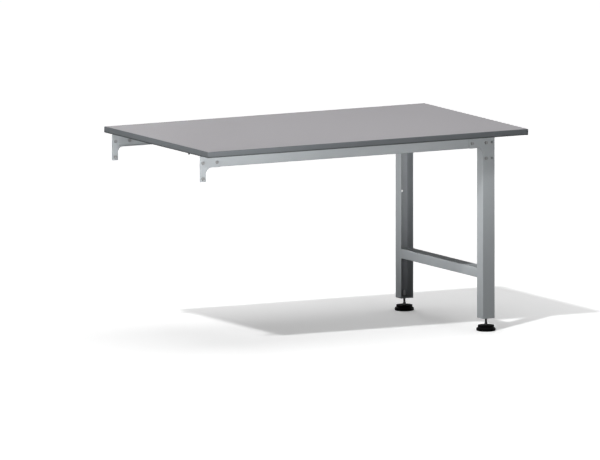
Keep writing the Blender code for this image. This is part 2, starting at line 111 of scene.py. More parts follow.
class Spot(Word):
    """The three bolts of a hanger plate."""

    CORNER = 1
    ARM = 2
    RAIL = 3


class Edge(Word):
    """The worktop's edges: the axis each runs along, the axis across it, and which way is outwards."""

    FRONT = (0, 1, -1)
    REAR = (0, 1, 1)
    LEFT = (1, 0, -1)
    RIGHT = (1, 0, 1)

    @property
    def long_run(self) -> bool:
        """Whether the strip runs the worktop's whole length, and so round its corners."""
        return self.value[0] == 0


class Sock:
    """A shader socket that takes part in Python sums; each operation adds one Math node."""

    def __init__(self, wiring: "Wiring", socket: bpy.types.NodeSocket) -> None:
        """Wrap a socket of a node tree."""
        self.wiring = wiring
        self.socket = socket

    def _math(self, operation: str, first: "Sock | float", second: "Sock | float") -> "Sock":
        """Add a Math node with its operation and two values."""
        return self.wiring.node("ShaderNodeMath", {"operation": operation}, {0: first, 1: second})

    def __add__(self, other: "Sock | float") -> "Sock":
        """Sum of two values."""
        return self._math("ADD", self, other)

    def __radd__(self, other: float) -> "Sock":
        """Sum with a number on the left."""
        return self._math("ADD", other, self)

    def __sub__(self, other: "Sock | float") -> "Sock":
        """Difference of two values."""
        return self._math("SUBTRACT", self, other)

    def __rsub__(self, other: float) -> "Sock":
        """Difference from a number on the left."""
        return self._math("SUBTRACT", other, self)

    def __mul__(self, other: "Sock | float") -> "Sock":
        """Product of two values."""
        return self._math("MULTIPLY", self, other)

    def __rmul__(self, other: float) -> "Sock":
        """Product with a number on the left."""
        return self._math("MULTIPLY", other, self)

    def swing(self, gain: float) -> "Sock":
        """A noise value as a swing about zero, times a gain."""
        return gain * (self - NOISE_MEAN)


class Wiring:
    """A node tree in the making."""

    def __init__(self, tree: bpy.types.NodeTree) -> None:
        """Take over a tree."""
        self.tree = tree

    def node(self, kind: str, settings: dict | None = None, inputs: dict | None = None,
             output: int | str = 0) -> Sock:
        """Add any node.

        Args:
            kind: The node's type.
            settings: Its properties, set first; "stops" gives a ramp's (place, grey) pairs.
            inputs: Values or sockets by input name or index.
            output: Which output to hand back.

        Returns:
            The wrapped output.
        """
        made = self.tree.nodes.new(kind)
        for key, value in (settings or {}).items():
            if key == "stops":
                self._set_stops(made, value)
            else:
                setattr(made, key, value)
        for key, value in (inputs or {}).items():
            self.feed(made.inputs[key], value)
        return Sock(self, made.outputs[output])

    @staticmethod
    def _set_stops(ramp: bpy.types.Node, stops: Sequence[Point2]) -> None:
        """Give a colour ramp its stops.

        Args:
            ramp: The ramp's node.
            stops: Its (place, grey) pairs.
        """
        elements = ramp.color_ramp.elements
        while len(elements) < len(stops):
            elements.new(1.0)
        for element, (place, grey) in zip(elements, stops):
            element.position = place
            element.color = (grey, grey, grey, 1.0)

    def feed(self, socket: bpy.types.NodeSocket, value: "Sock | float | Sequence[float]") -> None:
        """Link a socket, or set its value.

        Args:
            socket: The socket to feed.
            value: A wrapped socket to link, or a plain number, vector or colour.
        """
        if isinstance(value, Sock):
            self.tree.links.new(value.socket, socket)
        elif isinstance(value, tuple) and len(value) == 3 and socket.type == "RGBA":
            socket.default_value = (*value, 1.0)
        else:
            socket.default_value = value

    def height(self, place: Sock) -> Sock:
        """The Z of a place."""
        return self.node("ShaderNodeSeparateXYZ", inputs={0: place}, output="Z")

    def fade(self, value: Sock, span: Point2, ends: Point2 = (0.0, 1.0), smooth: bool = False) -> Sock:
        """Run from one level to another while a value crosses a span.

        Args:
            value: What crosses the span.
            span: Where the run starts and stops.
            ends: The levels before and after it.
            smooth: Whether the run eases in and out.

        Returns:
            The level.
        """
        kind = "SMOOTHSTEP" if smooth else "LINEAR"
        limits = {"From Min": span[0], "From Max": span[1], "To Min": ends[0], "To Max": ends[1]}
        return self.node("ShaderNodeMapRange", {"interpolation_type": kind}, {"Value": value, **limits})


class Recipe(Wiring):
    """A material in the making, with the Principled shader wired to the output."""

    def __init__(self, name: str) -> None:
        """Start a material with a tree of its own.

        Args:
            name: The material's name.
        """
        self.material = bpy.data.materials.new(name)
        self.material.use_nodes = True
        super().__init__(self.material.node_tree)
        self.shader = self.tree.nodes["Principled BSDF"]
        self.place = self.node("ShaderNodeTexCoord", output="Object")

    def put(self, name: str, value: "Sock | float | Colour") -> None:
        """Set or link one socket of the Principled shader."""
        self.feed(self.shader.inputs[name], value)

    def noise(self, scale: float, detail: float, stretch: Point3 | None = None) -> Sock:
        """Noise over the object's own coordinates.

        Args:
            scale: Cells per metre.
            detail: Octaves.
            stretch: Factors on the three axes, for grain that runs one way.

        Returns:
            The noise value.
        """
        place = self.place
        if stretch is not None:
            place = self.node("ShaderNodeVectorMath", {"operation": "MULTIPLY"}, {0: place, 1: stretch})
        return self.node("ShaderNodeTexNoise", {"noise_dimensions": "3D"},
                         {"Vector": place, "Scale": scale, "Detail": detail, "Roughness": 0.55})

    def cells(self, scale: float) -> Sock:
        """Random grey per Voronoi cell, with the given count of cells per metre."""
        inputs = {"Vector": self.place, "Scale": scale}
        return self.grey(self.node("ShaderNodeTexVoronoi", {"feature": "F1"}, inputs, output="Color"))

    def ramp(self, value: Sock, stops: Sequence[Point2]) -> Sock:
        """Reshape a value through a ramp's grey stops."""
        return self.grey(self.node("ShaderNodeValToRGB", {"stops": stops}, {"Fac": value}))

    def grey(self, colour: Sock) -> Sock:
        """The first channel of a colour, as a value."""
        return self.node("ShaderNodeSeparateColor", inputs={"Color": colour}, output="Red")

    def tint(self, colour: Colour, tone: Sock) -> Sock:
        """A colour scaled by a tone that varies about 1."""
        return self.node("ShaderNodeVectorMath", {"operation": "SCALE"}, {0: colour, "Scale": tone})

    def blend(self, share: Sock, first: "Sock | Colour", second: "Sock | Colour") -> Sock:
        """Mix two colours by a share from 0 to 1."""
        inputs = {0: share, MIX_FIRST: first, MIX_SECOND: second}
        return self.node("ShaderNodeMix", {"data_type": "RGBA"}, inputs, output=MIX_RESULT)

    def bump(self, height: Sock, depth: float, strength: float) -> None:
        """Feed the shader's normal from a height, with the depth in metres that a height of 1 stands for."""
        inputs = {"Height": height, "Distance": depth, "Strength": strength}
        self.put("Normal", self.node("ShaderNodeBump", inputs=inputs, output="Normal"))


@dataclass(frozen=True)
class Finish:
    """A surface finish, with the record's material slot that it belongs to."""

    slot: str
    colour: Colour
    roughness: float
    metallic: float = 0.0

    def paint(self, recipe: Recipe) -> None:
        """Wire the finish's colour, roughness and relief into a recipe."""
        raise NotImplementedError

    def material(self) -> bpy.types.Material:
        """The finish's material, made once.

        Returns:
            The material.
        """
        name = f"finish_{self.slot}"
        found = bpy.data.materials.get(name)
        if found is not None:
            return found
        recipe = Recipe(name)
        recipe.put("Metallic", self.metallic)
        self.paint(recipe)
        return recipe.material


@dataclass(frozen=True)
class Laminate(Finish):
    """Antistatic laminate: matt grey with fine flecks and a pearl-like grain."""

    fleck_scale: float = 1100.0
    fleck_gain: float = 0.55
    cloud_scale: float = 5.0
    cloud_gain: float = 0.05
    cloud_dulling: float = 0.08
    grain_scale: float = 2400.0
    grain_dulling: float = 0.16
    grain_depth: float = 0.00008
    grain_strength: float = 0.45

    def paint(self, recipe: Recipe) -> None:
        """Wire flecks, faint clouds and the pressed grain.

        Args:
            recipe: The material in the making.
        """
        fleck = recipe.noise(self.fleck_scale, detail=1.0)
        cloud = recipe.noise(self.cloud_scale, detail=3.0)
        grain = recipe.noise(self.grain_scale, detail=1.0)
        tone = 1.0 + fleck.swing(self.fleck_gain) + cloud.swing(self.cloud_gain)
        recipe.put("Base Color", recipe.tint(self.colour, tone))
        dulling = self.roughness + grain.swing(self.grain_dulling) + cloud.swing(self.cloud_dulling)
        recipe.put("Roughness", dulling)
        recipe.bump(grain, self.grain_depth, self.grain_strength)


@dataclass(frozen=True)
class EdgeBand(Finish):
    """Dark plastic edging, drawn along its length, with a pebble grain and painted shade darkening its foot.
    """

    # Painted shade along the strip's foot: where it starts, how high it reaches and how dark it gets.
    seam_height: float = 0.815
    seam_width: float = 0.0065
    seam_tone: float = 0.18
    gloss: float = 0.2
    ground: float = 0.90
    streak_scale: float = 240.0
    streak_stretch: Point3 = (0.04, 0.04, 1.0)
    streak_gain: float = 0.10
    grain_scale: float = 1500.0
    grain_gain: float = 0.10
    grain_dulling: float = 0.20
    grain_depth: float = 0.00006
    grain_strength: float = 0.30

    def paint(self, recipe: Recipe) -> None:
        """Wire the drawn streaks, the grain and the painted shade along the foot.

        Args:
            recipe: The material in the making.
        """
        recipe.put("Specular IOR Level", self.gloss)
        streak = recipe.noise(self.streak_scale, detail=3.0, stretch=self.streak_stretch)
        grain = recipe.noise(self.grain_scale, detail=2.0)
        # Painted shade: the colour darkens over the strip's lowest few millimetres, standing in for shade on
        # its lower rounding.
        span = (self.seam_height, self.seam_height + self.seam_width)
        painted_shade = recipe.fade(recipe.height(recipe.place), span, (self.seam_tone, 1.0), smooth=True)
        tone = self.ground + self.streak_gain * streak + self.grain_gain * grain
        recipe.put("Base Color", recipe.tint(self.colour, tone * painted_shade))
        recipe.put("Roughness", self.roughness + grain.swing(self.grain_dulling))
        recipe.bump(grain, self.grain_depth, self.grain_strength)


@dataclass(frozen=True)
class PowderCoat(Finish):
    """Powder-coated steel: an even light grey with the orange peel of baked powder."""

    peel_scale: float = 620.0
    peel_gain: float = 0.14
    peel_dulling: float = 0.12
    peel_depth: float = 0.00012
    peel_strength: float = 0.50
    coat_scale: float = 11.0
    coat_gain: float = 0.05
    coat_dulling: float = 0.08
    speck_scale: float = 850.0
    speck_gain: float = 0.10
    speck_stops: tuple[Point2, ...] = ((0.0, 0.0), (0.70, 0.0), (0.76, 1.0))

    def paint(self, recipe: Recipe) -> None:
        """Wire the peel, a faint unevenness of the coat and a few fine specks.

        Args:
            recipe: The material in the making.
        """
        peel = recipe.noise(self.peel_scale, detail=2.0)
        coat = recipe.noise(self.coat_scale, detail=3.0)
        speck = recipe.ramp(recipe.noise(self.speck_scale, detail=1.0), self.speck_stops)
        tone = 1.0 + coat.swing(self.coat_gain) + peel.swing(self.peel_gain) - self.speck_gain * speck
        recipe.put("Base Color", recipe.tint(self.colour, tone))
        dulling = self.roughness + peel.swing(self.peel_dulling) + coat.swing(self.coat_dulling)
        recipe.put("Roughness", dulling)
        recipe.bump(peel, self.peel_depth, self.peel_strength)


@dataclass(frozen=True)
class PlatedSteel(Finish):
    """Plated steel: metal with a cloudy film and fine tool marks, lighter above a height if one is given."""

    film: Colour = (0.62, 0.60, 0.52)
    film_share: float = 0.35
    bare: Colour = (0.74, 0.74, 0.75)
    bare_from: float | None = None
    bare_fade: float = 0.003
    cloud_scale: float = 140.0
    cloud_stops: tuple[Point2, ...] = ((0.35, 0.0), (0.70, 1.0))
    cloud_dulling: float = 0.08
    marks_scale: float = 1300.0
    marks_stretch: Point3 = (1.0, 1.0, 0.12)
    marks_dulling: float = 0.22
    marks_depth: float = 0.00003
    marks_strength: float = 0.25

    def paint(self, recipe: Recipe) -> None:
        """Wire the film's clouds, the marks and the lighter end.

        Args:
            recipe: The material in the making.
        """
        cloud = recipe.ramp(recipe.noise(self.cloud_scale, detail=3.0), self.cloud_stops)
        marks = recipe.noise(self.marks_scale, detail=2.0, stretch=self.marks_stretch)
        plating = recipe.blend(self.film_share * cloud, self.colour, self.film)
        # Above the given height the colour fades to a lighter grey.
        if self.bare_from is not None:
            span = (self.bare_from, self.bare_from + self.bare_fade)
            plating = recipe.blend(recipe.fade(recipe.height(recipe.place), span), plating, self.bare)
        recipe.put("Base Color", plating)
        dulling = self.roughness + marks.swing(self.marks_dulling) + self.cloud_dulling * cloud
        recipe.put("Roughness", dulling)
        recipe.bump(marks, self.marks_depth, self.marks_strength)


@dataclass(frozen=True)
class MouldedBlack(Finish):
    """Black moulded plastic or rubber with a spark-eroded grain."""

    gloss: float = 0.15
    ground: float = 0.8
    bloom_scale: float = 60.0
    bloom_gain: float = 0.5
    bloom_dulling: float = 0.08
    grain_scale: float = 1800.0
    grain_dulling: float = 0.18
    grain_depth: float = 0.00006
    grain_strength: float = 0.45

    def paint(self, recipe: Recipe) -> None:
        """Wire the grain and a slight bloom.

        Args:
            recipe: The material in the making.
        """
        recipe.put("Specular IOR Level", self.gloss)
        grain = recipe.noise(self.grain_scale, detail=2.0)
        bloom = recipe.noise(self.bloom_scale, detail=3.0)
        recipe.put("Base Color", recipe.tint(self.colour, self.ground + self.bloom_gain * bloom))
        dulling = self.roughness + grain.swing(self.grain_dulling) + bloom.swing(self.bloom_dulling)
        recipe.put("Roughness", dulling)
        recipe.bump(grain, self.grain_depth, self.grain_strength)


@dataclass(frozen=True)
class Chipboard(Finish):
    """Raw chipboard: pressed chips of pale and dark wood."""

    dark: Colour = (0.20, 0.125, 0.065)
    dark_stops: tuple[Point2, ...] = ((0.1, 0.0), (0.9, 1.0))
    coarse_scale: float = 420.0
    coarse_share: float = 0.65
    coarse_depth: float = 0.0002
    coarse_strength: float = 0.5
    fine_scale: float = 1300.0
    fine_share: float = 0.35
    fine_dulling: float = 0.1

    def paint(self, recipe: Recipe) -> None:
        """Wire coarse and fine chips.

        Args:
            recipe: The material in the making.
        """
        coarse = recipe.cells(self.coarse_scale)
        fine = recipe.cells(self.fine_scale)
        share = recipe.ramp(self.coarse_share * coarse + self.fine_share * fine, self.dark_stops)
        recipe.put("Base Color", recipe.blend(share, self.colour, self.dark))
        recipe.put("Roughness", self.roughness + fine.swing(self.fine_dulling))
        recipe.bump(coarse, self.coarse_depth, self.coarse_strength)


@dataclass(frozen=True)
class BackingSheet(Finish):
    """Grey backing sheet under the worktop, with the fibres of paper."""

    ground: float = 0.92
    fibre_scale: float = 700.0
    fibre_stretch: Point3 = (0.25, 1.0, 1.0)
    fibre_gain: float = 0.10
    fibre_dulling: float = 0.12
    fibre_depth: float = 0.00004
    fibre_strength: float = 0.3
    cloud_scale: float = 9.0
    cloud_gain: float = 0.06

    def paint(self, recipe: Recipe) -> None:
        """Wire fibres and faint clouds.

        Args:
            recipe: The material in the making.
        """
        fibre = recipe.noise(self.fibre_scale, detail=3.0, stretch=self.fibre_stretch)
        cloud = recipe.noise(self.cloud_scale, detail=3.0)
        tone = self.ground + self.fibre_gain * fibre + self.cloud_gain * cloud
        recipe.put("Base Color", recipe.tint(self.colour, tone))
        recipe.put("Roughness", self.roughness + fibre.swing(self.fibre_dulling))
        recipe.bump(fibre, self.fibre_depth, self.fibre_strength)


@dataclass(frozen=True)
class StudioFloor(Finish):
    """The pale floor of the studio, with a glow of its own so that it stays white beyond the lamps."""

    glow: float = 0.195
    far_glow: float = 0.485
    near: float = 0.8
    far: float = 5.0

    def paint(self, recipe: Recipe) -> None:
        """Set an even white, and raise the glow with the distance from the table.

        Args:
            recipe: The material in the making.
        """
        recipe.put("Base Color", self.colour)
        recipe.put("Roughness", self.roughness)
        length = {"operation": "LENGTH"}
        reach = recipe.node("ShaderNodeVectorMath", length, {0: recipe.place}, output="Value")
        glow = recipe.fade(reach, (self.near, self.far), (self.glow, self.far_glow), smooth=True)
        recipe.put("Emission Color", recipe.tint(WHITE, glow))
        recipe.put("Emission Strength", 1.0)


LAMINATE = Laminate("antistatic_laminate", (0.327, 0.317, 0.331), 0.52)
EDGING = EdgeBand("edging", (0.108, 0.117, 0.124), 0.64)
CHIPS = Chipboard("chipboard", (0.46, 0.33, 0.20), 0.85)
BACKING = BackingSheet("backing_sheet", (0.28, 0.275, 0.28), 0.72)
COAT = PowderCoat("silver_paint", (0.375, 0.398, 0.413), 0.44)
ZINC = PlatedSteel("zinc_plate", (0.285, 0.290, 0.297), 0.46, 0.4, film=(0.33, 0.32, 0.285))
BLACK_STEEL = PlatedSteel("black_steel", (0.105, 0.105, 0.110), 0.45, 0.35, film=(0.125, 0.12, 0.118),
                          bare_from=0.052)
NYLON = MouldedBlack("black_nylon", (0.003, 0.003, 0.0033), 0.62, gloss=0.05)
RUBBER = MouldedBlack("black_rubber", (0.006, 0.006, 0.006), 0.85, grain_scale=900.0)
FLOOR = StudioFloor("studio_floor", (0.95, 0.95, 0.95), 1.0)


def show(name: str, data: bpy.types.ID) -> bpy.types.Object:
    """Put data into the scene as an object.

    Args:
        name: The object's name.
        data: Its mesh, lamp or camera.

    Returns:
        The object.
    """
    made = bpy.data.objects.new(name, data)
    bpy.context.scene.collection.objects.link(made)
    return made


class Shape:
    """A closed skin in the making, as rings joined in a bmesh."""

    def __init__(self) -> None:
        """Start with no faces."""
        self.bm = bmesh.new()

    def loft(self, rings: Sequence[Ring], closed: bool = False) -> "Shape":
        """Join rings of equal count into a skin.

        Args:
            rings: The rings in order.
            closed: Join the last to the first, for a ring with a bore; otherwise both ends are capped.

        Returns:
            This shape.
        """
        loops = [[self.bm.verts.new(point) for point in ring] for ring in rings]
        followers = loops[1:] + (loops[:1] if closed else [])
        for low, high in zip(loops, followers):
            for i in range(len(low)):
                j = (i + 1) % len(low)
                self.bm.faces.new((low[i], low[j], high[j], high[i]))
        if not closed:
            self.bm.faces.new(loops[0])
            self.bm.faces.new(loops[-1])
        return self

    def mesh(self, name: str) -> bpy.types.Mesh:
        """Turn the skin into a mesh with its faces outwards.

        Args:
            name: The mesh's name.

        Returns:
            The mesh.
        """
        bmesh.ops.recalc_face_normals(self.bm, faces=self.bm.faces)
        made = bpy.data.meshes.new(name)
        self.bm.to_mesh(made)
        self.bm.free()
        return made

    def piece(self, name: str, finish: Finish, body: str, sharp: float = PLAIN_SHARP) -> bpy.types.Object:
        """Turn the skin into a smooth-shaded piece of the table.

        Args:
            name: The piece's name.
            finish: Its finish.
            body: The body that carries it.
            sharp: Edges above this angle, in degrees, stay sharp.

        Returns:
            The piece.
        """
        mesh = self.mesh(name)
        mesh.shade_smooth()
        mesh.set_sharp_from_angle(angle=math.radians(sharp))
        mesh.materials.append(finish.material())
        made = show(name, mesh)
        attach(made, body)
        return made


def stand_for(piece: bpy.types.Object, node: str) -> bpy.types.Object:
    """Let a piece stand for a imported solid, and hide the solid."""
    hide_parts(node)
    return piece


def dress_solid(node: str, finish: Finish) -> bpy.types.Object:
    """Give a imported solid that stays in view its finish.

    Args:
        node: The solid's name.
        finish: Its finish.

    Returns:
        The solid.
    """
    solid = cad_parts[node]
    solid.data.materials.clear()
    solid.data.materials.append(finish.material())
    return solid


def settle(piece: bpy.types.Object) -> None:
    """Bake a piece's modifiers into its mesh.

    Args:
        piece: The piece.
    """
    bpy.context.view_layer.update()
    graph = bpy.context.evaluated_depsgraph_get()
    baked = bpy.data.meshes.new_from_object(piece.evaluated_get(graph))
    old = piece.data
    piece.modifiers.clear()
    piece.data = baked
    bpy.data.meshes.remove(old)


def cut(piece: bpy.types.Object, shape: Shape) -> None:
    """Take a shape away from a piece.

    Args:
        piece: The piece.
        shape: What is taken away.
    """
    mesh = shape.mesh("cutter")
    cutter = show("cutter", mesh)
    modifier = piece.modifiers.new("cut", "BOOLEAN")
    modifier.operation = "DIFFERENCE"
    modifier.solver = "EXACT"
    modifier.object = cutter
    settle(piece)
    bpy.data.objects.remove(cutter, do_unlink=True)
    bpy.data.meshes.remove(mesh)


def ease_edges(piece: bpy.types.Object, width: float, steps: int = 2, limit: float = 32.0) -> None:
    """Round a piece's sharp edges slightly, and keep its flat faces flat in shading.

    Args:
        piece: The piece.
        width: Width of the rounding, in metres.
        steps: Segments across it.
        limit: Edges above this angle, in degrees, are rounded.
    """
    bevel = piece.modifiers.new("ease", "BEVEL")
    bevel.width = width
    bevel.segments = steps
    bevel.limit_method = "ANGLE"
    bevel.angle_limit = math.radians(limit)
    weigh = piece.modifiers.new("weigh", "WEIGHTED_NORMAL")
    weigh.keep_sharp = True
    settle(piece)


def circle(radius: float, z: float, sides: int) -> Ring:
    """A ring of points about the Z axis."""
    turns = [TAU * i / sides for i in range(sides)]
    return [(radius * math.cos(t), radius * math.sin(t), z) for t in turns]


def turned(profile: Iterable[Point2], sides: int) -> list[Ring]:
    """Rings of a turned shape, from its (radius, height) pairs."""
    return [circle(radius, z, sides) for radius, z in profile]


def hexagon(width: float, z: float, sides: int, limit: float = math.inf) -> Ring:
    """A hexagonal ring, cut off at a radius where a chamfer has turned its corners away.

    Args:
        width: Width across flats.
        z: Height of the ring.
        sides: Count of points, a multiple of six.
        limit: Greatest radius.

    Returns:
        The ring.
    """
    ring = []
    for i in range(sides):
        turn = TAU * i / sides
        off = (turn + math.pi / 6) % (math.pi / 3) - math.pi / 6
        reach = min(width / 2 / math.cos(math.pi / 6 - abs(off)), limit)
        ring.append((reach * math.cos(turn), reach * math.sin(turn), z))
    return ring


def hex_chamfer(width: float, share: float, lifts: Point2) -> list[Point2]:
    """How far a hexagon reaches at each ring of its chamfered end.

    Args:
        width: Width across flats.
        share: Radius of the end face over the width.
        lifts: Distances of the second and the third ring from the end face.

    Returns:
        Each ring's distance from the end face, with its greatest radius.
    """
    face, corner = share * width, width / math.sqrt(3)
    return [(0.0, face), (lifts[0], (face + corner) / 2), (lifts[1], math.inf)]


def arc(centre: Point2, radius: float, start: float, end: float, steps: int) -> list[Point2]:
    """Points of an arc, both ends included.

    Args:
        centre: Its centre.
        radius: Its radius.
        start: First angle, in degrees.
        end: Last angle, in degrees.
        steps: Count of segments.

    Returns:
        The points.
    """
    turns = [math.radians(start + (end - start) * i / steps) for i in range(steps + 1)]
    return [(centre[0] + radius * math.cos(t), centre[1] + radius * math.sin(t)) for t in turns]


def drill_y(x: float, z: float, radius: float, reach: Point2, sides: int = 32) -> Shape:
    """A round drill along Y, as a shape to take away."""
    ring = circle(radius, 0.0, sides)
    return Shape().loft([[(x + u, y, z + v) for u, v, _ in ring] for y in reach])


def drill_z(x: float, y: float, radius: float, reach: Point2, sides: int = 24) -> Shape:
    """A round drill along Z, as a shape to take away."""
    ring = circle(radius, 0.0, sides)
    return Shape().loft([[(x + u, y + v, z) for u, v, _ in ring] for z in reach])


def middle(node: str) -> Vector:
    """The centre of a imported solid's box."""
    low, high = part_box(node)
    return (low + high) / 2


@dataclass(frozen=True)
class Thread:
    """A screw thread as rings whose radius follows a helix."""

    diameter: float
    pitch: float
    depth: float
    rings_per_turn: int = 8
    least_rings: int = 4
    flank: float = 1.5
    crest: float = 0.25

    def rings(self, start: float, end: float, sides: int) -> list[Ring]:
        """The thread's rings from one height to another, fading out at both ends.

        Args:
            start: First height.
            end: Last height.
            sides: Points in a ring.

        Returns:
            The rings.
        """
        count = max(self.least_rings, round((end - start) / self.pitch * self.rings_per_turn))
        made = []
        for k in range(count + 1):
            z = start + (end - start) * k / count
            fade = min(1.0, (z - start) / self.pitch, (end - z) / self.pitch)
            ring = []
            for i in range(sides):
                turn = TAU * i / sides
                phase = (z / self.pitch - i / sides) % 1.0
                groove = min(1.0, max(0.0, self.flank * abs(2 * phase - 1) - self.crest))
                reach = self.diameter / 2 - self.depth * (fade * groove + (1 - fade))
                ring.append((reach * math.cos(turn), reach * math.sin(turn), z))
            made.append(ring)
        return made


M8 = Thread(diameter=0.0078, pitch=0.00125, depth=0.00070)
M10 = Thread(diameter=0.0098, pitch=0.0015, depth=0.00085)
WOOD_THREAD = Thread(diameter=0.0044, pitch=0.0020, depth=0.00080)


@dataclass
class HexFastener:
    """Hexagon bolts and nuts of one size; nuts alone need no head and no length."""

    thread: Thread
    width: float
    nut: float
    bore: float
    head: float = 0.0
    length: float = 0.0
    sides: int = 36
    face_share: float = 0.475
    chamfer_share: float = 0.12
    chamfer_steps: Point2 = (0.35, 0.75)
    dish_floor: float = 0.26
    dish_rim: float = 0.30
    dish_depth: float = 0.0004
    neck: float = 0.0012
    run_in: float = 0.0015
    run_out: float = 0.0008
    tip_step: float = 0.0014
    countersink: float = 0.0006

    def _chamfered(self, low: float, high: float, both: bool) -> list[Ring]:
        """Rings of a hexagon with a chamfered top.

        Args:
            low: Height of its foot.
            high: Height of its top.
            both: Whether its foot is chamfered too.

        Returns:
            The rings, from its foot up.
        """
        ease = self.chamfer_share * self.width
        first, second = self.chamfer_steps
        steps = hex_chamfer(self.width, self.face_share, (first * ease, second * ease))
        foot = steps if both else [(0.0, math.inf)]
        rings = [hexagon(self.width, low + lift, self.sides, limit) for lift, limit in foot]
        rings += [hexagon(self.width, high - lift, self.sides, limit) for lift, limit in reversed(steps)]
        return rings

    def bolt_mesh(self) -> Shape:
        """A bolt along +Z with the underside of its head at the origin.

        Returns:
            The bolt's shape.
        """
        shank = self.thread.diameter / 2
        flipped = [[(x, -y, -z) for x, y, z in ring] for ring in self._chamfered(0.0, self.head, False)]
        head = [[ring[0], *ring[:0:-1]] for ring in reversed(flipped)]
        dish = turned(((self.dish_floor * self.width, -self.head + self.dish_depth),
                       (self.dish_rim * self.width, -self.head)), self.sides)
        neck = turned(((shank, 0.0), (shank, self.neck)), self.sides)
        thread = self.thread.rings(self.run_in, self.length - self.run_out, self.sides)
        tip = circle(shank - self.tip_step, self.length, self.sides)
        return Shape().loft([*dish, *head, *neck, *thread, tip])

    def nut_mesh(self) -> Shape:
        """A nut standing on the origin, chamfered on both faces and countersunk at its bore.

        Returns:
            The nut's shape.
        """
        sink, wide = self.countersink, self.bore + self.countersink
        bore = ((wide, self.nut), (self.bore, self.nut - sink), (self.bore, sink), (wide, 0.0))
        rings = self._chamfered(0.0, self.nut, True) + turned(bore, self.sides)
        return Shape().loft(rings, closed=True)


@dataclass
class FoldedChannel:
    """A channel folded from sheet, with its holes; the base of rails and legs."""

    width: float
    depth: float
    wall: float
    bend: float
    steps: int = 8
    hole: float = 0.009
    eased: float = 0.00035

    def outline(self) -> list[Point2]:
        """The section: the web along u at v = 0, the flanges towards +v.

        Returns:
            The section's points.
        """
        far, inner, steps = self.width - self.bend, self.bend - self.wall, self.steps
        points = [(0.0, self.depth), *arc((self.bend, self.bend), self.bend, 180, 270, steps)]
        points += arc((far, self.bend), self.bend, 270, 360, steps)
        points += [(self.width, self.depth), (self.width - self.wall, self.depth)]
        points += arc((far, self.bend), inner, 0, -90, steps)
        points += arc((self.bend, self.bend), inner, 270, 180, steps)
        return [*points, (self.wall, self.depth)]

    def build(self, name: str, span: Point2, place: Callable[[float, float, float], Point3],
              holes: Iterable[Shape]) -> bpy.types.Object:
        """Fold, drill and ease one channel.

        Args:
            name: The piece's name.
            span: Its two ends along its length.
            place: Maps section coordinates and a place along the length to a point in space.
            holes: Shapes to take away.

        Returns:
            The piece.
        """
        outline = self.outline()
        rings = [[place(u, v, s) for u, v in outline] for s in span]
        piece = Shape().loft(rings).piece(name, COAT, FRAME_BODY)
        for hole in holes:
            cut(piece, hole)
        ease_edges(piece, self.eased)
        return piece


@dataclass
class Worktop:
    """Laminated board with its edge strips."""

    rounding: float = 0.0022
    corner: float = 0.0026
    least_corner: float = 0.0002
    steps: int = 6

    def build(self) -> Pieces:
        """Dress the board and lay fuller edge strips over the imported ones.

        Yields:
            Each piece.
        """
        board = {"worktop_laminate": LAMINATE, "worktop_core": CHIPS, "worktop_backing": BACKING}
        for node, finish in board.items():
            yield dress_solid(node, finish)
        for edge in Edge:
            yield self._strip(edge)

    def _levels(self, low: float, high: float) -> list[Point2]:
        """Heights up a strip, each with how far its outer face lies back there.

        Args:
            low: The strip's foot.
            high: Its top.

        Returns:
            The (height, back) pairs.
        """
        r = self.rounding
        quarter = [math.pi / 2 * i / self.steps for i in range(self.steps + 1)]
        bottom = [(low + r - r * math.cos(t), r - r * math.sin(t)) for t in quarter]
        top = [(high - r + r * math.sin(t), r - r * math.cos(t)) for t in quarter]
        return bottom + top

    def _strip(self, edge: Edge) -> bpy.types.Object:
        """One edge strip: rounded along its outer edges, and at its corners where it runs to the end.

        Args:
            edge: The worktop's edge.

        Returns:
            The strip.
        """
        node = f"edge_strip_{edge.word}"
        low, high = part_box(node)
        along, across, outwards = edge.value
        inner, outer = (high[across], low[across]) if outwards < 0 else (low[across], high[across])
        rings = []
        for z, back in self._levels(low.z, high.z):
            trim = back if edge.long_run else 0.0
            ends = (low[along] + trim, high[along] - trim)
            plan = self._plan(edge, ends, (inner, outer - outwards * back), back)
            rings.append([(u, v, z) if edge.long_run else (v, u, z) for u, v in plan])
        return stand_for(Shape().loft(rings).piece(f"edge_band_{edge.word}", EDGING, FRAME_BODY), node)

    def _plan(self, edge: Edge, ends: Point2, faces: Point2, back: float) -> list[Point2]:
        """A strip's plan at one height.

        Args:
            edge: The worktop's edge.
            ends: Where the strip starts and stops.
            faces: Its inner and outer face.
            back: How far the outer face lies back at this height.

        Returns:
            The plan's (along, across) points.
        """
        start, stop = ends
        inner, outer = faces
        if not edge.long_run:
            return [(start, inner), (start, outer), (stop, outer), (stop, inner)]
        outwards = edge.value[2]
        r = max(self.corner - back, self.least_corner)
        points = [(start, inner)]
        for centre, first, last in ((start + r, 180, 270), (stop - r, 270, 360)):
            points += [(u, outer - outwards * v) for u, v in arc((centre, r), r, first, last, self.steps)]
        return [*points, (stop, inner)]


